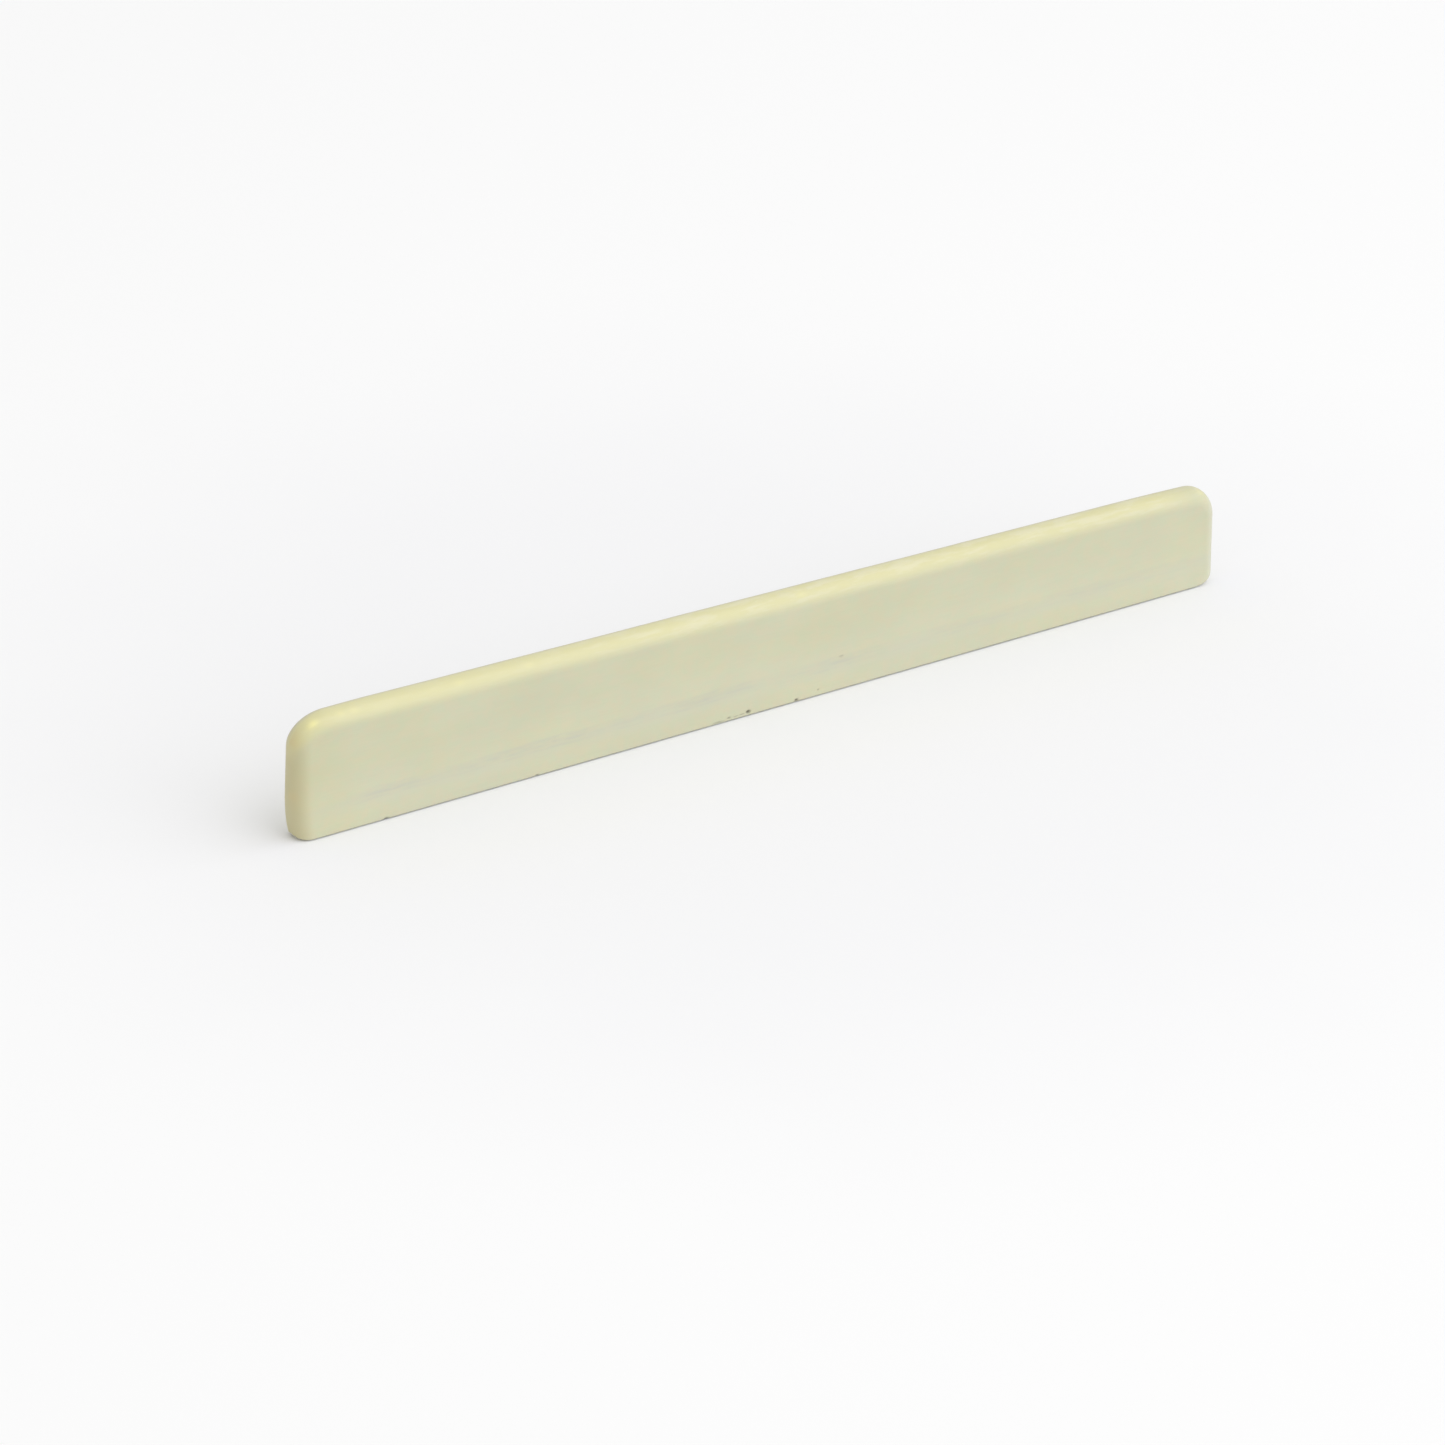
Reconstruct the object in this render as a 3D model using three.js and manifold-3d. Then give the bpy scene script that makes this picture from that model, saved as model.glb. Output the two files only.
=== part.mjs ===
// Bone folder: a single blade sawn from solid bone, for scoring and creasing paper.
// The long lower edge is left flat, so the blade stands on it. The crown along the top
// and both ends are worked round, and the blade tapers a little from its butt to its tip.
//
// Frame: millimetres, +Z up, +X from the butt to the tip, -Y out of the front face.
// The origin is under the middle of the blade, on the surface that it stands on.

import * as THREE from "three";
import { mergeVertices } from "three/addons/utils/BufferGeometryUtils.js";
import Module from "manifold-3d";

// Driving dimensions.
const LENGTH = 150;
const BUTT_HEIGHT = 17.25;
const TIP_HEIGHT = 14.75;
const THICKNESS = 4.4;

// How the butt and the tip meet the flat edge and the crown, seen from the front.
// Each corner has two sizes: how far it runs along the blade, and how far up the end.
const BUTT_LEAN = 0.055; // how far the butt leans in for each unit of height
const BUTT_RUN_IN = { depth: 0.52, height: 5.4 }; // below this height it curves in to the foot
const BUTT_FOOT_CORNER = { along: 1.8, up: 0.6 };
const TIP_FOOT_CORNER = { along: 3.9, up: 2.6 };
const BUTT_CROWN_CORNER = { along: 5.6, up: 4.3 };
const TIP_CROWN_CORNER = { along: 4.15, up: 4.6 };

// How the crown and the ends are rounded over, seen in section.
const ROUND_DEPTH = 0.95 * (THICKNESS / 2); // across the thickness, from each face
const ROUND_SIZE = 2.1; // in from the blade's outline
const ARRIS = 0.15; // the flat edge's corners are only broken

const CORNER_SEGMENTS = 14;
const ROUND_SEGMENTS = 8;
const ARRIS_SEGMENTS = 3;

// The two solids that are crossed run past each other by these amounts.
const SKIRT = 6; // the rounded slab runs this far below the flat edge
const HEADROOM = 4; // the sawn blank runs this far above the crown
const BUTT_ROOM = 1; // and this far past the butt
const BLANK_CLEARANCE = 0.05; // and stands this far proud of each face

const HALF = LENGTH / 2;
const CROWN_SLOPE = (TIP_HEIGHT - BUTT_HEIGHT) / LENGTH;

// The crown's height along the blade, and where the leaning butt is at a height.
// The butt stands furthest out where its run-in starts.
const crownHeight = (x) => BUTT_HEIGHT + CROWN_SLOPE * (x + HALF);
const buttEnd = (z) => -HALF + BUTT_LEAN * (z - BUTT_RUN_IN.height);

// The blade's outline with its crown, crown corners and run-in, running on below the flat edge.
function roundedOutline() {
  const tip = TIP_CROWN_CORNER;
  const butt = BUTT_CROWN_CORNER;
  const { depth, height } = BUTT_RUN_IN;
  const tipShoulder = crownHeight(HALF - tip.along);
  const buttSide = buttEnd(BUTT_HEIGHT - butt.up);
  const buttShoulder = crownHeight(buttSide + butt.along);
  const foot = -HALF + depth;
  const footSlope = (3 * depth) / height; // the slope that the run-in curve ends with
  const outline = new THREE.Shape();
  outline.moveTo(foot + footSlope * SKIRT, -SKIRT);
  outline.lineTo(HALF, -SKIRT);
  outline.absellipse(HALF - tip.along, tipShoulder - tip.up, tip.along, tip.up, 0, Math.PI / 2);
  const { along, up } = butt;
  outline.absellipse(buttSide + along, buttShoulder - up, along, up, Math.PI / 2, Math.PI);
  outline.lineTo(-HALF, height);
  outline.bezierCurveTo(-HALF, (2 * height) / 3, -HALF, height / 3, foot, 0);
  outline.closePath();
  return outline;
}

// The blank's outline: its flat edge and the corners at its foot, running on above the crown.
// The butt's foot corner is a shallow arc that ends at the butt and runs straight on past it.
function blankOutline() {
  const butt = BUTT_FOOT_CORNER;
  const tip = TIP_FOOT_CORNER;
  const top = BUTT_HEIGHT + HEADROOM;
  const radius = (butt.along ** 2 + butt.up ** 2) / (2 * butt.up);
  const turn = Math.asin(butt.along / radius);
  const past = BUTT_ROOM + BUTT_RUN_IN.depth;
  const outline = new THREE.Shape();
  outline.moveTo(HALF, top);
  outline.lineTo(-HALF - BUTT_ROOM, top);
  outline.lineTo(-HALF - BUTT_ROOM, butt.up + past * Math.tan(turn));
  outline.absarc(-HALF + BUTT_RUN_IN.depth + butt.along, radius, radius, 1.5 * Math.PI - turn, 1.5 * Math.PI);
  outline.absellipse(HALF - tip.along, tip.up, tip.along, tip.up, 1.5 * Math.PI, 2 * Math.PI);
  outline.closePath();
  return outline;
}

// Extrudes an outline to a slab of that thickness, centred on y = 0, with rounded edges.
// The rounding comes off the outline, so the slab is no larger than the outline.
function slab(outline, thickness, roundDepth, roundSize, roundSegments) {
  const geometry = new THREE.ExtrudeGeometry(outline, {
    depth: thickness - 2 * roundDepth,
    curveSegments: CORNER_SEGMENTS,
    bevelThickness: roundDepth,
    bevelSize: roundSize,
    bevelOffset: -roundSize,
    bevelSegments: roundSegments,
  });
  geometry.translate(0, 0, roundDepth - thickness / 2);
  return geometry.rotateX(Math.PI / 2);
}

// Three.js geometry to a manifold-3d solid, and back.
function toSolid(wasm, geometry) {
  const bare = geometry.clone();
  bare.deleteAttribute("normal");
  bare.deleteAttribute("uv");
  const merged = mergeVertices(bare);
  return new wasm.Manifold(
    new wasm.Mesh({
      numProp: 3,
      vertProperties: merged.attributes.position.array,
      triVerts: new Uint32Array(merged.index.array),
    }),
  );
}

function toGeometry(solid) {
  const mesh = solid.getMesh();
  const geometry = new THREE.BufferGeometry();
  geometry.setAttribute("position", new THREE.BufferAttribute(mesh.vertProperties, 3));
  geometry.setIndex(new THREE.BufferAttribute(mesh.triVerts, 1));
  geometry.computeVertexNormals();
  return geometry;
}

// The blade is what the sawn blank and the rounded slab have in common: a round crown and
// round ends on a flat edge whose corners are only broken.
function bladeGeometry(wasm) {
  const rounded = slab(roundedOutline(), THICKNESS, ROUND_DEPTH, ROUND_SIZE, ROUND_SEGMENTS);
  const blankThickness = THICKNESS + 2 * BLANK_CLEARANCE;
  const blank = slab(blankOutline(), blankThickness, ARRIS, ARRIS, ARRIS_SEGMENTS);
  return toGeometry(toSolid(wasm, rounded).intersect(toSolid(wasm, blank)));
}

const bone = new THREE.MeshStandardMaterial({
  color: new THREE.Color(0xd8d4ae),
  roughness: 0.38,
  metalness: 0,
});

const wasm = await Module();
wasm.setup();

const blade = new THREE.Mesh(bladeGeometry(wasm), bone);
blade.name = "bone_blade";

const boneFolder = new THREE.Group();
boneFolder.name = "bone_folder";
boneFolder.add(blade);

export default boneFolder;
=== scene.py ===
"""A bone folder: one blade worked from solid bone, standing on its flat long edge on a pale floor.

Everything is in metres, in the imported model's frame: +X from the butt to the tip, -Y out of the
front face, +Z up. The blade is one closed mesh. Its outline, seen from the front, is offset inwards
ring by ring to round the edges over, and a grid fills each flat face.
"""

import math
from typing import NamedTuple

import bpy
import numpy as np
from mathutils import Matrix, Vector


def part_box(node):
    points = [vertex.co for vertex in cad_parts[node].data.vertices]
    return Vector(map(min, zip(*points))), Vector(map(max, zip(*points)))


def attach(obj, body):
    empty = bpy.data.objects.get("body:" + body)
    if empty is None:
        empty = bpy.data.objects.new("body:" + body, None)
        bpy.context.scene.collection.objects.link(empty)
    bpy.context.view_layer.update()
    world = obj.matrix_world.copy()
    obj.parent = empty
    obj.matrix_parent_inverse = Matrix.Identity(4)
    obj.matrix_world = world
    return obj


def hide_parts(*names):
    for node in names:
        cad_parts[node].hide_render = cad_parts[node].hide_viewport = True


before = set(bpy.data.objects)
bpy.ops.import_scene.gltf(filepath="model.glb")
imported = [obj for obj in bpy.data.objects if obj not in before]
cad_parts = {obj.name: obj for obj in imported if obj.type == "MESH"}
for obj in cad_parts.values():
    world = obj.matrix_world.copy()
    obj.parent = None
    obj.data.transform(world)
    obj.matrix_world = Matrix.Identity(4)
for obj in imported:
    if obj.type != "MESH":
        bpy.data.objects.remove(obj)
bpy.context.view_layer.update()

MM = 0.001

# The blade's extent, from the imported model.
LOW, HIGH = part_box("bone_blade")
BUTT_X = LOW.x
TIP_X = HIGH.x
FOOT_Z = LOW.z
LENGTH = TIP_X - BUTT_X
HALF_THICKNESS = (HIGH.y - LOW.y) / 2

# The outline, seen from the front. Each corner says how far it runs along the blade and up its end.
BUTT_HEIGHT = 17.24 * MM
TIP_HEIGHT = 14.74 * MM
BUTT_LEAN = 0.055  # the butt leans in by this much for each unit of height
RUN_IN_HEIGHT = 5.4 * MM  # below this, the butt curves in towards the foot instead
RUN_IN_DEPTH = 0.52 * MM
BUTT_CROWN_CORNER = (5.6 * MM, 4.3 * MM)
TIP_CROWN_CORNER = (4.15 * MM, 4.6 * MM)
BUTT_FOOT_CORNER = (1.8 * MM, 0.8 * MM)
TIP_FOOT_CORNER = (3.9 * MM, 2.6 * MM)

# The rounded crown and ends, in section: how far in from the outline the rounding starts, and how
# much of the half thickness it takes. The flat foot's edges are only broken.
ROUND_SIZE = 2.1 * MM
ROUND_SHARE = 0.95
ARRIS = 0.12 * MM

# The mesh.
ARC_POINTS = 120  # in each corner arc of the outline
STRAIGHT_POINTS = 400  # between two corner arcs
SPACING = 0.38 * MM  # between the columns and the rows of vertices
FINE_SPACING = 0.13 * MM  # the same near the pits and the ends
FINE_REACH = (0.6 * MM, 0.5 * MM)  # how near that is, along and up the blade
END_FINE = 0.9 * MM  # the middle of the finer columns at each end is this far in
SPACING_STEPS = 6000  # steps in which the spacing is added up
RING_COUNT = 11  # rings that round an edge over, on each side of the blade
BAND_COUNT = 4  # bands of faces between the two sides' outermost rings
FOOT_RINGS = 0.3 * MM  # how far in from the outline the rings reach at the foot
RINGS_GROW = (2.2 * MM, 5.5 * MM)  # heights between which that grows to the full rounding

# How filing and polishing leave the blade off true. Each layer of a wave has a strength, the
# direction in which it runs (along and up the blade), the spacing of its turns, and a seed.
FACE_WAVES = ((0.7, 1, 0.5, 17 * MM, 11), (0.3, 0.1, 1, 5 * MM, 21))
FACE_WAVE_DEPTH = 0.010 * MM
CROWN_FACETS = ((1.0, 1, 2, 2.3 * MM, 33), (0.6, 1, -3, 1.2 * MM, 34))
CROWN_FACET_DEPTH = 0.006 * MM
CROWN_WAVER = ((0.016 * MM, 1, 0, 13 * MM, 31), (0.005 * MM, 1, 0, 3.1 * MM, 32))
HIGH_UP = (0.6, 1.0)  # what the crown alone has grows in between these shares of its height

# Towards each end, the crown falls away by this much more, over this reach.
CROWN_FALL = 0.16 * MM
CROWN_FALL_REACH = 14 * MM

# Pits and nicks in the front face: middle along and up the blade, half sizes along and up, depth.
PITS = (
    (-4.25 * MM, 0.50 * MM, 0.34 * MM, 0.26 * MM, 0.22 * MM),
    (-5.30 * MM, 0.40 * MM, 0.45 * MM, 0.10 * MM, 0.05 * MM),
    (-6.30 * MM, 0.36 * MM, 0.40 * MM, 0.09 * MM, 0.05 * MM),
    (-7.40 * MM, 0.42 * MM, 0.30 * MM, 0.14 * MM, 0.08 * MM),
    (-9.20 * MM, 0.22 * MM, 0.90 * MM, 0.10 * MM, 0.06 * MM),
    (3.60 * MM, 0.22 * MM, 0.30 * MM, 0.20 * MM, 0.15 * MM),
    (7.15 * MM, 0.85 * MM, 0.16 * MM, 0.12 * MM, 0.07 * MM),
    (10.95 * MM, 4.95 * MM, 0.38 * MM, 0.12 * MM, 0.05 * MM),
    (-61.4 * MM, 0.05 * MM, 0.35 * MM, 0.18 * MM, 0.12 * MM),
    (-38.0 * MM, 0.05 * MM, 0.25 * MM, 0.15 * MM, 0.10 * MM),
)
PIT_STEEPNESS = 1.5  # of a pit's sides
DIRTY_DEPTH = 0.14 * MM  # a pit this deep has filled with dirt

# Where the growth line shows along the blade: its middle, its reach either way, and how strongly.
STREAKS = (
    (-61 * MM, 5 * MM, 0.75),
    (-38 * MM, 15 * MM, 0.85),
    (-11 * MM, 9 * MM, 0.80),
    (10 * MM, 6 * MM, 0.70),
    (30 * MM, 8 * MM, 0.35),
    (56 * MM, 22 * MM, 0.45),
)

# Distances over which the masks grow from nothing: below the crown, in from the butt and the tip,
# and over the crown to its far side, where shade is painted.
CROWN_FADE = (2.6 * MM, 0.35 * MM)
BUTT_FADE = (3.1 * MM, 0.0)
TIP_REFLECTION_FADE = (2.2 * MM, 0.2 * MM)
FAR_SHADE_REACH = (0.1 * MM, 0.9 * MM)

# The crown's colour fades by this share towards the tip, the butt's tan and painted shade towards the
# crown.
TIP_CROWN_FADE = 0.7
TIP_CROWN_REACH = (11.0 * MM, 2.0 * MM)
TAN_AND_SHADE_FADE = 0.4
TAN_AND_SHADE_HEIGHTS = (10.5 * MM, 15.0 * MM)

# Painted glints, where a highlight catches the crown: how far along the blade, and how strongly.
GLINTS = (
    (-71.5 * MM, 1.0),
    (-67.4 * MM, 0.25),
    (-65.4 * MM, 0.3),
    (-49.3 * MM, 0.2),
    (-38.6 * MM, 0.2),
    (4.8 * MM, 0.25),
    (72.5 * MM, 0.3),
)
GLINT_DEPTH = 0.47 * MM  # how far below the crown's top they lie
GLINT_SIZE = (0.75 * MM, 0.26 * MM)  # half sizes along and up

# Stains at the butt: how far along and up the blade, half sizes along and up, and how strongly.
STAINS = (
    (-74.4 * MM, 14.2 * MM, 0.5 * MM, 0.8 * MM, 0.35),
    (-73.9 * MM, 15.3 * MM, 0.5 * MM, 0.5 * MM, 0.25),
    (-74.7 * MM, 6.4 * MM, 0.4 * MM, 0.8 * MM, 0.2),
)

KNOT_COUNT = 4096  # knots that a wandering curve has


def smoothstep(low, high, value):
    t = np.clip((value - low) / (high - low), 0, 1)
    return t * t * (3 - 2 * t)


def spot(*offsets):
    """1 in the middle and fading away round it, where each offset is counted in half sizes."""
    return np.exp(-sum(offset**2 for offset in offsets))


def wander(place, spacing, seed):
    """A smooth random curve: a value from -1 to 1 at knots spacing apart, eased between them."""
    knots = np.random.RandomState(seed).uniform(-1, 1, KNOT_COUNT)
    at = np.asarray(place) / spacing + KNOT_COUNT // 2
    whole = np.floor(at).astype(int)
    ease = smoothstep(0, 1, at - whole)
    return knots[whole] * (1 - ease) + knots[whole + 1] * ease


def waves(x, z, layers, side=0):
    """The layers of a wave, added up. Each side of the blade can have its own."""
    return sum(
        strength * wander(along * x + up * z, spacing, seed + side)
        for strength, along, up, spacing, seed in layers
    )


# ---------------------------------------------------------------- the blade's mesh


def crown_height(x):
    return BUTT_HEIGHT + (TIP_HEIGHT - BUTT_HEIGHT) * (x - BUTT_X) / LENGTH


def butt_line(z):
    """Where the butt's line is at this height, and how far along it moves for each unit of height."""
    above = z - FOOT_Z - RUN_IN_HEIGHT
    run = np.clip(-above / RUN_IN_HEIGHT, 0, None)
    place = BUTT_X + BUTT_LEAN * np.maximum(above, 0) + RUN_IN_DEPTH * run**3
    slope = np.where(above > 0, BUTT_LEAN, -3 * RUN_IN_DEPTH / RUN_IN_HEIGHT * run**2)
    return place, slope


def corner_arc(point, start, end):
    """The quarter ellipse that rounds the corner at point, from point + start to point + end."""
    t = np.linspace(0, math.pi / 2, ARC_POINTS)[:, None]
    return point + (1 - np.sin(t)) * start + (1 - np.cos(t)) * end


def outline_corners():
    """The four corner arcs in the XZ plane, anticlockwise seen from the front."""
    butt_up = np.array([BUTT_LEAN, 1.0])
    tip_up = np.array([0.0, 1.0])
    along = np.array([1.0, 0.0])
    crown_along = np.array([LENGTH, TIP_HEIGHT - BUTT_HEIGHT]) / LENGTH
    butt_crown = np.array([butt_line(FOOT_Z + BUTT_HEIGHT)[0], FOOT_Z + BUTT_HEIGHT])
    run_in_z = FOOT_Z + BUTT_FOOT_CORNER[1]  # the height at which the foot corner starts
    run_in_x, run_in_slope = butt_line(run_in_z)
    run_in_up = np.array([run_in_slope, 1.0])
    butt_foot = np.array([run_in_x, run_in_z]) - BUTT_FOOT_CORNER[1] * run_in_up
    tip_foot = np.array([TIP_X, FOOT_Z])
    tip_crown = np.array([TIP_X, FOOT_Z + TIP_HEIGHT])
    return (
        corner_arc(butt_crown, BUTT_CROWN_CORNER[0] * crown_along, -BUTT_CROWN_CORNER[1] * butt_up),
        corner_arc(butt_foot, BUTT_FOOT_CORNER[1] * run_in_up, BUTT_FOOT_CORNER[0] * along),
        corner_arc(tip_foot, -TIP_FOOT_CORNER[0] * along, TIP_FOOT_CORNER[1] * tip_up),
        corner_arc(tip_crown, -TIP_CROWN_CORNER[1] * tip_up, -TIP_CROWN_CORNER[0] * crown_along),
    )


def outline_sides():
    """The outline's four sides, each from the middle of one corner arc to the middle of the next:
    butt (downwards), foot (to the tip), tip (upwards) and crown (to the butt)."""
    arcs = outline_corners()
    sides = []
    for arc, following in zip(arcs, arcs[1:] + arcs[:1]):
        middle = len(arc) // 2
        between = np.linspace(arc[-1], following[0], STRAIGHT_POINTS)[1:-1]
        if not sides:
            between[:, 0] = butt_line(between[:, 1])[0]  # the butt isn't straight
        sides.append(np.vstack([arc[middle:], between, following[: middle + 1]]))
    return sides


def crown_line(x):
    """The height of the outline's top, with its rounded corners."""
    butt_crown, _, _, tip_crown = outline_corners()
    line = np.vstack([butt_crown[::-1], tip_crown[::-1]])
    return np.interp(x, line[:, 0], line[:, 1])


def resampled(side, shares):
    """Points at these shares of the side's length, and the outline's inward normals there."""
    steps = np.linalg.norm(np.diff(side, axis=0), axis=1)
    at = np.concatenate([[0], np.cumsum(steps)])
    wanted = shares * at[-1]
    points = np.stack([np.interp(wanted, at, side[:, i]) for i in (0, 1)], axis=1)
    tangents = np.gradient(side, at, axis=0)
    tangent = np.stack([np.interp(wanted, at, tangents[:, i]) for i in (0, 1)], axis=1)
    tangent /= np.linalg.norm(tangent, axis=1)[:, None]
    return points, np.stack([-tangent[:, 1], tangent[:, 0]], axis=1)


def shares_along(start, end, fine_places, fine_reach):
    """Shares from 0 to 1 between two places, closer together within fine_reach of fine_places."""
    fine = np.linspace(start, end, SPACING_STEPS)
    spacing = np.full(len(fine), SPACING)
    for place in fine_places:
        near = smoothstep(2 * fine_reach, fine_reach, abs(fine - place))
        spacing = np.minimum(spacing, SPACING + (FINE_SPACING - SPACING) * near)
    count = np.concatenate([[0], np.cumsum(abs(np.diff(fine)) / spacing[1:])])
    whole = np.linspace(0, count[-1], int(math.ceil(count[-1])) + 1)
    return (np.interp(whole, count, fine) - start) / (end - start)


def end_inset(x, z):
    """How far in from the nearer end's line a place is. The lines run on past the foot corners."""
    butt, slope = butt_line(z)
    return np.minimum((x - butt) / np.hypot(1, slope), TIP_X - x)


def half_thickness(inset):
    """Half the blade's thickness this far in from the line of its crown or ends."""
    depth = ROUND_SHARE * HALF_THICKNESS
    left = 1 - np.clip(inset / ROUND_SIZE, 0, 1)
    return HALF_THICKNESS - depth + depth * np.sqrt(1 - left**2)


def broken_edge(offset):
    """The share of that half thickness which breaking a sharp edge leaves, this far in from it."""
    left = 1 - np.clip(offset / ARRIS, 0, 1)
    return 1 - ARRIS / HALF_THICKNESS * (1 - np.sqrt(1 - left**2))


def edge_rings(loop, inward):
    """The rings of vertices round the blade: from the front face's rim out to the outline, across
    it, and in again to the back face's rim."""
    grown = smoothstep(*RINGS_GROW, loop[:, 1] - FOOT_Z)
    size = FOOT_RINGS + (ROUND_SIZE - FOOT_RINGS) * grown
    worked_round = loop[:, 1] - FOOT_Z > TIP_HEIGHT / 2  # the crown's half, and not the foot's
    angles = np.linspace(math.pi / 2, 0, RING_COUNT)
    rings = []
    for side, order in ((-1, angles), (1, angles[::-1])):
        for angle in order:
            offset = size * (1 - math.cos(angle))
            place = loop + inward * offset[:, None]
            inset = np.minimum(np.where(worked_round, offset, ROUND_SIZE), end_inset(*place.T))
            y = side * half_thickness(inset) * broken_edge(offset)
            rings.append((place, y))
        if side == -1:
            for share in np.linspace(1, -1, BAND_COUNT + 1)[1:-1]:
                rings.append((loop, share * y))
    return [np.stack([place[:, 0], y, place[:, 1]], axis=1) for place, y in rings]


def rim_of_grid(n_columns, n_rows):
    """A grid, with the foot's row first, that holds in its outer cells which vertex of a ring is
    there. Its inner cells are 0."""
    corners = np.cumsum([0, n_rows - 1, n_columns - 1, n_rows - 1])
    grid = np.zeros((n_rows, n_columns), int)
    grid[:, 0] = corners[0] + np.arange(n_rows)[::-1]
    grid[0, :] = corners[1] + np.arange(n_columns)
    grid[:, -1] = corners[2] + np.arange(n_rows)
    grid[-1, :] = (corners[3] + np.arange(n_columns)[::-1]) % (corners[3] + n_columns - 1)
    return grid


def inside_rim(rim, columns, rows):
    """The places that fill a grid inside its rim: a Coons patch."""
    u = columns[None, 1:-1, None]
    v = rows[1:-1, None, None]
    return (
        (1 - v) * rim[0:1, 1:-1] + v * rim[-1:, 1:-1]
        + (1 - u) * rim[1:-1, 0:1] + u * rim[1:-1, -1:]
        - (1 - v) * ((1 - u) * rim[0, 0] + u * rim[0, -1])
        - v * ((1 - u) * rim[-1, 0] + u * rim[-1, -1])
    )


def blade_points():
    """The blade's vertices and faces."""
    butt, foot, tip, crown = outline_sides()
    ends = [foot[0, 0] + END_FINE, foot[-1, 0] - END_FINE]
    columns = shares_along(foot[0, 0], foot[-1, 0], [pit[0] for pit in PITS] + ends, FINE_REACH[0])
    rows = shares_along(FOOT_Z, crown[0, 1], [FOOT_Z + pit[1] for pit in PITS], FINE_REACH[1])
    # Each side has a point for each column or row. Opposite sides pair up.
    sides = [
        resampled(butt, 1 - rows[::-1]),
        resampled(foot, columns),
        resampled(tip, rows),
        resampled(crown, 1 - columns[::-1]),
    ]
    loop = np.vstack([points[:-1] for points, _ in sides])
    inward = np.vstack([normals[:-1] for _, normals in sides])
    count = len(loop)

    places = edge_rings(loop, inward)
    ring_count = len(places)
    faces = []
    for ring in range(ring_count - 1):
        a, b = ring * count, (ring + 1) * count
        for i in range(count):
            j = (i + 1) % count
            faces.append((a + i, b + i, b + j, a + j))

    # A grid fills each flat face inside its innermost ring.
    grid = rim_of_grid(len(columns), len(rows))
    made = ring_count * count
    for ring, side in ((0, -1), (ring_count - 1, 1)):
        inside = inside_rim(places[ring][grid], columns, rows)
        inside[..., 1] = side * half_thickness(end_inset(inside[..., 0], inside[..., 2]))
        n_rows, n_columns = inside.shape[:2]
        index = grid + ring * count
        index[1:-1, 1:-1] = made + np.arange(n_rows * n_columns).reshape(n_rows, n_columns)
        places.append(inside.reshape(-1, 3))
        made += n_rows * n_columns
        for r in range(n_rows + 1):
            for c in range(n_columns + 1):
                quad = (index[r, c], index[r, c + 1], index[r + 1, c + 1], index[r + 1, c])
                faces.append(quad if side == -1 else quad[::-1])
    return np.vstack(places), faces


def worked_by_hand(points):
    """Moves the vertices as filing and polishing leave them: slow waves in each face, a crown that
    isn't quite straight and falls away at its ends, and short facets along it."""
    x, y, z = points.T
    side = np.sign(y)
    facing = abs(y) / HALF_THICKNESS
    wave = np.zeros(len(x))
    for s in (-1, 1):
        here = side == s
        wave[here] = waves(x[here], z[here], FACE_WAVES, s)
    high = smoothstep(*HIGH_UP, (z - FOOT_Z) / crown_height(x))
    facets = CROWN_FACET_DEPTH * waves(x, z, CROWN_FACETS) * high * (1 - facing**4)
    points[:, 1] += side * (FACE_WAVE_DEPTH * wave * facing + facets)
    points[:, 2] += high * waves(x, z, CROWN_WAVER)
    points[:, 2] -= high * CROWN_FALL * smoothstep(CROWN_FALL_REACH, 0, np.minimum(x - BUTT_X, TIP_X - x))
    return points


def pitted(points):
    """Sinks the pits into the front face, and returns how deep in a pit each vertex is, 0 to 1."""
    x, y, z = points.T
    dirt = np.zeros(len(x))
    front = y < 0
    for along, up, half_along, half_up, depth in PITS:
        distance = ((x - along) / half_along) ** 2 + ((z - FOOT_Z - up) / half_up) ** 2
        sunk = np.exp(-(distance**PIT_STEEPNESS)) * front
        points[:, 1] += depth * sunk
        dirt = np.maximum(dirt, sunk * min(1, depth / DIRTY_DEPTH))
    return points, dirt


def colour_masks(points, dirt):
    """How strongly each of the bone's colours, and each painted light and shade, shows at each vertex, 0
    to 1.
    """
    x, y, z = points.T
    below_crown = crown_line(x) - z
    near_crown = smoothstep(*CROWN_FADE, below_crown)
    tan_and_shade_high = smoothstep(*TAN_AND_SHADE_HEIGHTS, z - FOOT_Z)
    # The painted glints: highlight spots along the crown's front.
    glint_up = (below_crown - GLINT_DEPTH) / GLINT_SIZE[1]
    glint = sum(share * spot((x - along) / GLINT_SIZE[0], glint_up) for along, share in GLINTS)
    stain = sum(
        share * spot((x - along) / half_along, (z - FOOT_Z - up) / half_up)
        for along, up, half_along, half_up, share in STAINS
    )
    return {
        "crown": near_crown * (1 - TIP_CROWN_FADE * smoothstep(*TIP_CROWN_REACH, TIP_X - x)),
        # The butt's tan and its painted shade, on the end that faces away from the light.
        "butt": smoothstep(*BUTT_FADE, x - BUTT_X) * (1 - TAN_AND_SHADE_FADE * tan_and_shade_high),
        # The tip's painted reflection of the white surroundings.
        "tip": smoothstep(*TIP_REFLECTION_FADE, TIP_X - x),
        "far_side_shade": smoothstep(*FAR_SHADE_REACH, y) * near_crown,
        "glint": glint * (y < 0),
        "stain": stain * (y < 0),
        "streak": sum(share * spot((x - along) / reach) for along, reach, share in STREAKS),
        "dirt": dirt,
    }


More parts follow.
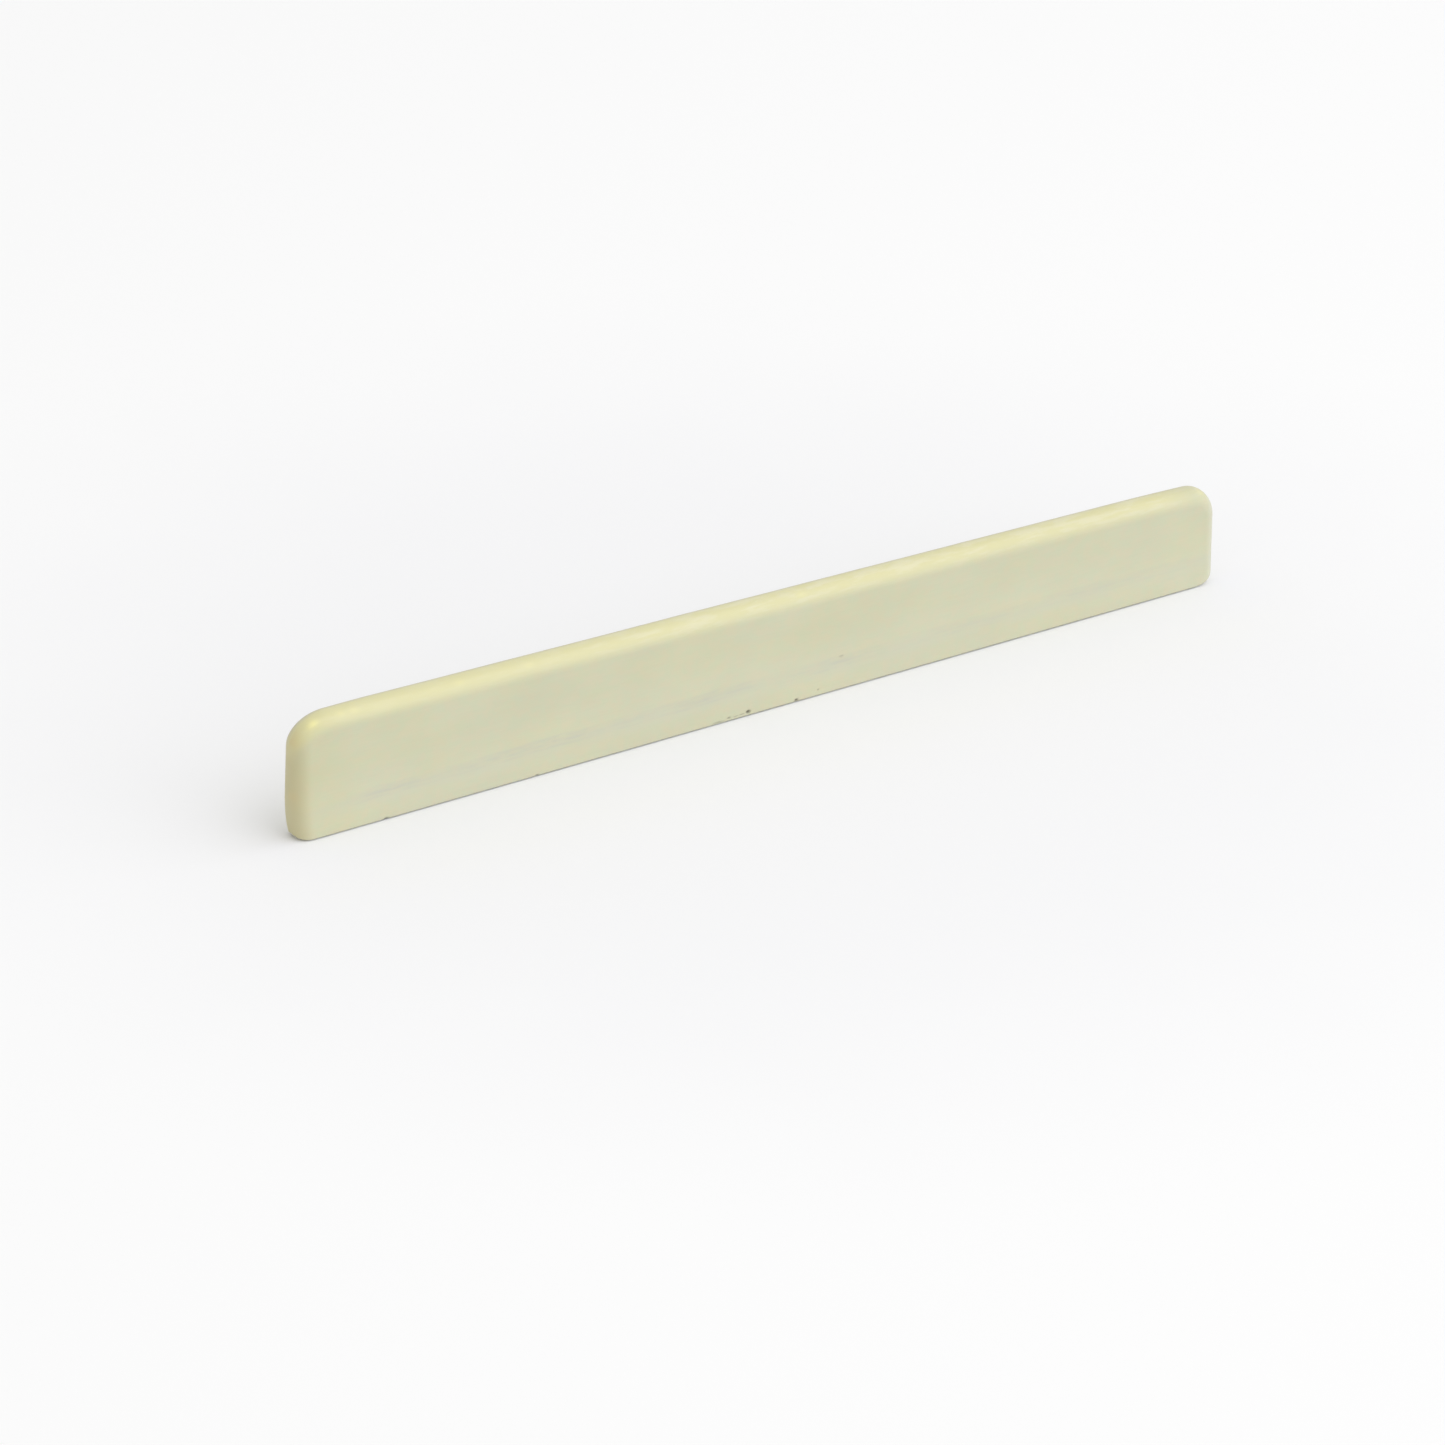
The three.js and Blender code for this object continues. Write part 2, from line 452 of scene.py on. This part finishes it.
def build_blade():
    points, faces = blade_points()
    points = worked_by_hand(points)
    points, dirt = pitted(points)

    mesh = bpy.data.meshes.new("blade")
    mesh.from_pydata([tuple(p) for p in points], [], [tuple(int(i) for i in f) for f in faces])
    mesh.validate()
    mesh.shade_smooth()
    for name, values in colour_masks(points, dirt).items():
        attribute = mesh.attributes.new(name, "FLOAT", "POINT")
        attribute.data.foreach_set("value", values.astype(np.float32))

    blade = bpy.data.objects.new("blade", mesh)
    bpy.context.scene.collection.objects.link(blade)
    return blade


# ---------------------------------------------------------------- materials


def linear(red, green, blue):
    """A colour given as 0 to 255 on a screen, as linear light: the sRGB curve."""
    shares = [c / 255 for c in (red, green, blue)]
    return tuple(s / 12.92 if s <= 0.04045 else ((s + 0.055) / 1.055) ** 2.4 for s in shares) + (1.0,)


class Noise(NamedTuple):
    """A noise: the sizes of its lumps along X, Y and Z, a seed, the two values that a ramp takes
    as its ends, and how much finer detail there is and how strong."""

    sizes: tuple
    seed: float
    span: tuple = (0.0, 1.0)
    detail: float = 2.0
    roughness: float = 0.5


class Nodes:
    """Adds nodes to a material's tree, with each input given as a value or another node's output."""

    def __init__(self, name):
        self.material = bpy.data.materials.new(name)
        self.material.use_nodes = True
        self.tree = self.material.node_tree
        self.shader = self.tree.nodes["Principled BSDF"]

    def link(self, socket, value):
        if isinstance(value, bpy.types.NodeSocket):
            self.tree.links.new(value, socket)
        else:
            socket.default_value = value

    def surface(self, inputs):
        for name, value in inputs.items():
            self.link(self.shader.inputs[name], value)

    def add(self, kind, inputs=None, output=0, **settings):
        made = self.tree.nodes.new("ShaderNode" + kind)
        for name, value in settings.items():
            setattr(made, name, value)
        for name, value in (inputs or {}).items():
            self.link(made.inputs[name], value)
        return made.outputs[output]

    def mask(self, name):
        return self.add("Attribute", output="Fac", attribute_name=name)

    def place(self):
        """The X, Y and Z of the place on the object."""
        place = self.add("TexCoord", output="Object")
        return self.add("SeparateXYZ", {0: place}).node.outputs

    def noise(self, noise):
        scales = tuple(1 / size for size in noise.sizes)
        shift = (noise.seed, noise.seed, noise.seed)
        place = self.add("TexCoord", output="Object")
        scaled = self.add("Mapping", {"Vector": place, "Location": shift, "Scale": scales})
        detail = {"Detail": noise.detail, "Roughness": noise.roughness}
        return self.add("TexNoise", {"Vector": scaled, "Scale": 1.0, **detail}, output="Fac")

    def ramp(self, value, low, high, to_low=0.0, to_high=1.0, smooth=True):
        return self.add(
            "MapRange",
            {"Value": value, "From Min": low, "From Max": high, "To Min": to_low, "To Max": to_high},
            interpolation_type="SMOOTHSTEP" if smooth else "LINEAR",
        )

    def ramped(self, noise, to_low=0.0, to_high=1.0, smooth=True):
        return self.ramp(self.noise(noise), *noise.span, to_low, to_high, smooth)

    def maths(self, operation, a, b=0.0):
        return self.add("Math", {0: a, 1: b}, operation=operation)

    def mix(self, share, a, b, blend="MIX"):
        made = self.tree.nodes.new("ShaderNodeMix")
        made.data_type = "RGBA"
        made.blend_type = blend
        for socket, value in ((made.inputs[0], share), (made.inputs[6], a), (made.inputs[7], b)):
            self.link(socket, value)
        return made.outputs[2]

    def shaded(self, colour, shade):
        grey = self.add("CombineXYZ", {0: shade, 1: shade, 2: shade})
        return self.mix(1.0, colour, grey, "MULTIPLY")


# The flat faces: the cream varies between two tones, with broader clouds that are a little darker
# or lighter, patches that are a little bluer or yellower, and fine grain along the blade.
FACE_WARM = linear(210.3, 206.3, 177)
FACE_COOL = linear(206.1, 207.9, 178.2)
MOTTLE = Noise((2 * MM, 2 * MM, 1.6 * MM), seed=3.1, span=(0.35, 0.65), detail=3, roughness=0.6)
CLOUDS = Noise((13 * MM, 6 * MM, 8 * MM), seed=8.4, span=(0.3, 0.7))
CLOUD_SHADES = (0.980, 1.020)
PATCHES = Noise((10 * MM, 6 * MM, 5 * MM), seed=5.9, span=(0.35, 0.65), detail=3, roughness=0.6)
PATCH_BLUE = (0.996, 0.999, 1.018, 1.0)
PATCH_YELLOW = (1.004, 1.001, 0.982, 1.0)
GRAIN = Noise((5 * MM, 0.5 * MM, 0.22 * MM), seed=2.3, span=(0.25, 0.75), detail=4, roughness=0.6)
GRAIN_SHADES = (0.985, 1.012)
# Painted shade: the face darkens towards its top, where less of the floor's bounce light reaches.
UPPER_SHADE = (0.960, 0.960, 0.942, 1.0)  # the face is a little darker and yellower towards its top
UPPER_SHADE_HEIGHTS = (4 * MM, 11 * MM)

# The growth line: threads at and near STREAK_Z. Each has how far above that it lies, its half width
# and its share of grey. They waver together, and each one breaks in its own places.
STREAK_GREY = linear(193.5, 193.5, 180.5)
STREAK_Z = 4.22 * MM
THREADS = ((0.0 * MM, 0.55 * MM, 0.75), (-0.62 * MM, 0.40 * MM, 0.45), (0.6 * MM, 0.55 * MM, 0.55))
THREAD_WAVER = Noise((9 * MM, 3 * MM, 60 * MM), seed=1.7, span=(0.2, 0.8))
THREAD_WAVER_SIZE = 0.3 * MM
THREAD_BREAKS = Noise((3.2 * MM, 2 * MM, 0.8 * MM), seed=5.2, span=(0.3, 0.65), detail=3)
THREAD_LEFT = 0.25  # where a thread breaks, this much of its share is left

# A wider and fainter zone of grey, whose middle is this far below STREAK_Z.
STREAK_HALO = linear(205, 206, 184.5)
HALO_BELOW = 0.8 * MM
HALO_FADE = (1.5 * MM, 0.3 * MM)
HALO_PATCHES = Noise((6 * MM, 4 * MM, 2 * MM), seed=7.7, span=(0.3, 0.6))
HALO_SHARES = (0.1, 0.45)

# The crown: yellower, with paler strokes that are fainter towards the butt.
# Painted light: the crown is lighter than the faces, for its top that the light falls on more,
# and its paler strokes are partly a painted highlight, partly the bone's own streaks.
CROWN = linear(220, 215.5, 168)
CROWN_PALE_SHEEN = linear(224, 220, 182.5)
STROKES_AND_SHEEN = Noise((4.5 * MM, 1.5 * MM, 0.6 * MM), seed=4.4, span=(0.42, 0.66), detail=3, roughness=0.6)
STROKES_GROW = (-50 * MM, -5 * MM)
STROKE_SHARES = (0.3, 1.0)
# Painted shade: the crown darkens a little towards the tip, where it catches less light.
CROWN_DIMS = (15 * MM, 60 * MM)  # it grows a little darker towards the tip
CROWN_TIP_SHADE = 0.982
# Painted shade: the crown's far side, turned away from the light, is greyer and darker.
CROWN_FAR_SHADE = linear(203, 199, 172)
# Painted glint: a bright yellow highlight spot on the crown.
CROWN_GLINT = linear(243, 237, 176)

# The ends, the foot and the pits.
# Painted reflection: the tip's end is paler and bluer, for the white surroundings it reflects.
TIP_REFLECTION = linear(206, 208, 194)
TIP_REFLECTION_SHARE = 0.6
BUTT_WASH = (0.985, 0.980, 0.925, 1.0)  # a faint yellow tint that reaches in from the butt
BUTT_WASH_FADE = (12 * MM, 2 * MM)
# The butt's end: partly a real tan, partly painted shade, as it faces away from the light.
BUTT_TAN_AND_SHADE = linear(196.5, 187, 143)
BUTT_SHARE = 0.8
BUTT_STAIN = linear(214, 186, 130)
# Painted shade and reflection: the foot's lowest edge is greyer, for the shade where it meets
# the floor and the white floor that it reflects.
FOOT_SHADE_GREY = linear(196, 195, 190)
FOOT_SHADE_SHARE = 0.15
FOOT_SHADE_HEIGHT = 0.45 * MM
PIT_DIRT = linear(122, 118, 104)

# The gloss. The crown is polished more, and the dirt isn't.
SMEARS = Noise((12 * MM, 3 * MM, 2 * MM), seed=6.6, span=(0.3, 0.7), detail=3)
SMEAR_ROUGHNESS = (0.44, 0.52)
CROWN_SMOOTHER = 0.06
DIRT_ROUGHER = 0.4

# The relief: scratches along the blade, and small dents that are deeper on the crown.
SCRATCHES = Noise((5 * MM, 0.12 * MM, 0.07 * MM), seed=4.9, detail=3, roughness=0.6)
SCRATCH_SHARE = 0.35
DENTS = Noise((1.8 * MM, 0.8 * MM, 0.8 * MM), seed=9.5)
CROWN_DENTS = 7.0
BUMP_STRENGTH = 0.15
BUMP_DISTANCE = 0.02 * MM

BONE_SURFACE = {
    "IOR": 1.54,
    "Subsurface Weight": 0.15,
    "Subsurface Radius": (1.0, 0.85, 0.55),
    "Subsurface Scale": 1.0 * MM,
}


def growth_line(n, z, colour):
    """A growth line along the blade: soft grey threads that waver, break and fade in and out."""
    waver = n.ramped(THREAD_WAVER, -THREAD_WAVER_SIZE, THREAD_WAVER_SIZE, smooth=False)
    height = n.maths("SUBTRACT", n.maths("SUBTRACT", z, STREAK_Z), waver)
    halo = n.ramp(n.maths("ABSOLUTE", n.maths("ADD", height, HALO_BELOW)), *HALO_FADE)
    patchy = n.ramped(HALO_PATCHES, *HALO_SHARES)
    colour = n.mix(n.maths("MULTIPLY", halo, patchy), colour, STREAK_HALO)
    for number, (above, half, share) in enumerate(THREADS):
        thread = n.ramp(n.maths("ABSOLUTE", n.maths("SUBTRACT", height, above)), half, 0.0)
        breaks = THREAD_BREAKS._replace(seed=THREAD_BREAKS.seed + number)
        broken = n.ramped(breaks, THREAD_LEFT * share, share)
        strength = n.maths("MULTIPLY", broken, n.mask("streak"))
        colour = n.mix(n.maths("MULTIPLY", thread, strength), colour, STREAK_GREY)
    return colour


def face_colour(n, z):
    """The flat faces' cream, with mottling, clouds, patches, grain, growth line and painted shade up top.
    """
    colour = n.mix(n.ramped(MOTTLE), FACE_COOL, FACE_WARM)
    colour = n.shaded(colour, n.ramped(CLOUDS, *CLOUD_SHADES, smooth=False))
    tint = n.mix(n.ramped(PATCHES), PATCH_BLUE, PATCH_YELLOW)
    colour = n.mix(1.0, colour, tint, "MULTIPLY")
    colour = n.shaded(colour, n.ramped(GRAIN, *GRAIN_SHADES, smooth=False))
    colour = n.mix(n.ramp(z, *UPPER_SHADE_HEIGHTS), colour, UPPER_SHADE, "MULTIPLY")
    return growth_line(n, z, colour)


def crown_colour(n, x):
    """The crown's yellow and painted light, paler strokes and sheen, and painted shade on its far side.
    """
    pale = n.maths("MULTIPLY", n.ramped(STROKES_AND_SHEEN), n.ramp(x, *STROKES_GROW, *STROKE_SHARES))
    crown = n.mix(pale, CROWN, CROWN_PALE_SHEEN)
    crown = n.shaded(crown, n.ramp(x, *CROWN_DIMS, 1.0, CROWN_TIP_SHADE))
    return n.mix(n.mask("far_side_shade"), crown, CROWN_FAR_SHADE)


def bone_colour(n):
    """The faces and the crown, then over them the painted glints, the tip's painted reflection, the
    butt's tan with its painted shade and its stains, the foot's painted shade and the dirt in the pits."""
    x, _, z = n.place()
    colour = n.mix(n.mask("crown"), face_colour(n, z), crown_colour(n, x))
    colour = n.mix(n.mask("glint"), colour, CROWN_GLINT)
    # The painted reflection on the tip.
    colour = n.mix(n.maths("MULTIPLY", n.mask("tip"), TIP_REFLECTION_SHARE), colour, TIP_REFLECTION)
    near_butt = n.ramp(x, *(BUTT_X + distance for distance in BUTT_WASH_FADE))
    colour = n.mix(near_butt, colour, BUTT_WASH, "MULTIPLY")
    # The butt's tan and painted shade.
    colour = n.mix(n.maths("MULTIPLY", n.mask("butt"), BUTT_SHARE), colour, BUTT_TAN_AND_SHADE)
    colour = n.mix(n.mask("stain"), colour, BUTT_STAIN)
    # The painted shade and reflection along the foot.
    colour = n.mix(n.ramp(z, FOOT_SHADE_HEIGHT, 0.0, 0.0, FOOT_SHADE_SHARE), colour, FOOT_SHADE_GREY)
    return n.mix(n.mask("dirt"), colour, PIT_DIRT)


def bone_roughness(n):
    smoother = n.maths("MULTIPLY", n.mask("crown"), CROWN_SMOOTHER)
    rougher = n.maths("MULTIPLY", n.mask("dirt"), DIRT_ROUGHER)
    return n.maths("ADD", n.maths("SUBTRACT", n.ramped(SMEARS, *SMEAR_ROUGHNESS), smoother), rougher)


def bone_relief(n):
    deeper = n.ramp(n.mask("crown"), 0.0, 1.0, 1.0, CROWN_DENTS, smooth=False)
    worked = n.maths("MULTIPLY", n.noise(DENTS), deeper)
    height = n.maths("ADD", n.maths("MULTIPLY", n.noise(SCRATCHES), SCRATCH_SHARE), worked)
    return n.add("Bump", {"Height": height, "Strength": BUMP_STRENGTH, "Distance": BUMP_DISTANCE})


def bone_material():
    n = Nodes("bone")
    n.surface({"Base Color": bone_colour(n), "Roughness": bone_roughness(n), "Normal": bone_relief(n)})
    n.surface(BONE_SURFACE)
    return n.material


# The floor: nearly white, with painted shade and light: a little darker near the blade, and whiter
# over these distances from the blade's middle, which a mottle shifts.
FLOOR_NEAR = linear(247, 247, 248)
FLOOR_FAR = linear(252, 252, 252)
FLOOR_WHITENS = (70 * MM, 170 * MM)
FLOOR_MOTTLE = Noise((40 * MM, 40 * MM, 40 * MM), seed=1.1)
FLOOR_MOTTLE_SHIFT = 30 * MM
FLOOR_SURFACE = {"Roughness": 0.9, "Specular IOR Level": 0.2}

# Just in front of the blade the floor is faintly blue: where that grows in as Y nears the blade,
# where it ends under the blade, and where it fades out past the ends.
FLOOR_BLUE = linear(246.5, 247, 252)
BLUE_BEFORE = (-18 * MM, -3 * MM)
BLUE_UNDER = (2 * MM, -2 * MM)
BLUE_BESIDE = (85 * MM, 70 * MM)


def floor_colour(n):
    """Nearly white paper, painted a little darker near the blade and whiter away from it, with a very
    faint mottle. Just in front of the blade it is faintly blue, which cancels the blade's yellow
    reflection."""
    x, y, _ = n.place()
    away = n.add("VectorMath", {0: n.add("TexCoord", output="Object")}, output=1, operation="LENGTH")
    shift = n.maths("MULTIPLY", n.noise(FLOOR_MOTTLE), FLOOR_MOTTLE_SHIFT)
    whitens = n.ramp(n.maths("ADD", away, shift), *FLOOR_WHITENS)
    front = n.maths("MULTIPLY", n.ramp(y, *BLUE_BEFORE), n.ramp(y, *BLUE_UNDER))
    blue = n.maths("MULTIPLY", front, n.ramp(n.maths("ABSOLUTE", x), *BLUE_BESIDE))
    return n.mix(blue, n.mix(whitens, FLOOR_NEAR, FLOOR_FAR), FLOOR_BLUE)


def floor_material():
    n = Nodes("pale_floor")
    n.surface({"Base Color": floor_colour(n), **FLOOR_SURFACE})
    return n.material


# ---------------------------------------------------------------- floor, light and camera

FLOOR_REACH = 4.0  # the floor runs this far each way
FLOOR_GAP = 0.15 * MM  # the floor lies this far below the foot, as the foot isn't quite flat

WORLD_STRENGTH = 0.74
KEY_DIRECTION = Vector((0.495, -0.559, 0.665))  # from the blade towards the key light
KEY_DISTANCE = 2.6
KEY_SIZE = 4.2
KEY_POWER = 43.0

CAMERA_AZIMUTH = math.radians(33.35)  # the camera stands this far round to the butt's side
CAMERA_ELEVATION = math.radians(25.80)
CAMERA_DISTANCE = 0.9543
CAMERA_LENS = 174.66
CAMERA_CLIP = (0.05, 20.0)
AIM_RIGHT = -5.845 * MM  # the camera looks past the blade's origin by these amounts
AIM_UP = -2.803 * MM


def add_floor():
    corners = [(-1, -1), (1, -1), (1, 1), (-1, 1)]
    mesh = bpy.data.meshes.new("floor")
    points = [(a * FLOOR_REACH, b * FLOOR_REACH, FOOT_Z - FLOOR_GAP) for a, b in corners]
    mesh.from_pydata(points, [], [(0, 1, 2, 3)])
    floor = bpy.data.objects.new("floor", mesh)
    floor.data.materials.append(floor_material())
    bpy.context.scene.collection.objects.link(floor)


def add_light():
    world = bpy.data.worlds.new("studio")
    world.use_nodes = True
    background = world.node_tree.nodes["Background"]
    background.inputs["Color"].default_value = (1.0, 1.0, 1.0, 1.0)
    background.inputs["Strength"].default_value = WORLD_STRENGTH
    bpy.context.scene.world = world

    light = bpy.data.lights.new("key", "AREA")
    light.shape = "DISK"
    light.size = KEY_SIZE
    light.energy = KEY_POWER
    key = bpy.data.objects.new("key", light)
    key.location = KEY_DIRECTION.normalized() * KEY_DISTANCE
    key.rotation_mode = "QUATERNION"
    key.rotation_quaternion = (-KEY_DIRECTION).to_track_quat("-Z", "Y")
    bpy.context.scene.collection.objects.link(key)


def add_camera():
    a, e = CAMERA_AZIMUTH, CAMERA_ELEVATION
    forward = Vector((math.cos(e) * math.sin(a), math.cos(e) * math.cos(a), -math.sin(e)))
    right = Vector((math.cos(a), -math.sin(a), 0.0))
    up = right.cross(forward)
    data = bpy.data.cameras.new("camera")
    data.lens = CAMERA_LENS
    data.clip_start, data.clip_end = CAMERA_CLIP
    camera = bpy.data.objects.new("camera", data)
    camera.location = right * AIM_RIGHT + up * AIM_UP - forward * CAMERA_DISTANCE
    camera.rotation_mode = "QUATERNION"
    camera.rotation_quaternion = forward.to_track_quat("-Z", "Y")
    bpy.context.scene.collection.objects.link(camera)
    bpy.context.scene.camera = camera


blade = build_blade()
blade.data.materials.append(bone_material())
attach(blade, "root")
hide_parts("bone_blade")

add_floor()
add_light()
add_camera()
bpy.context.scene.view_settings.view_transform = "Standard"
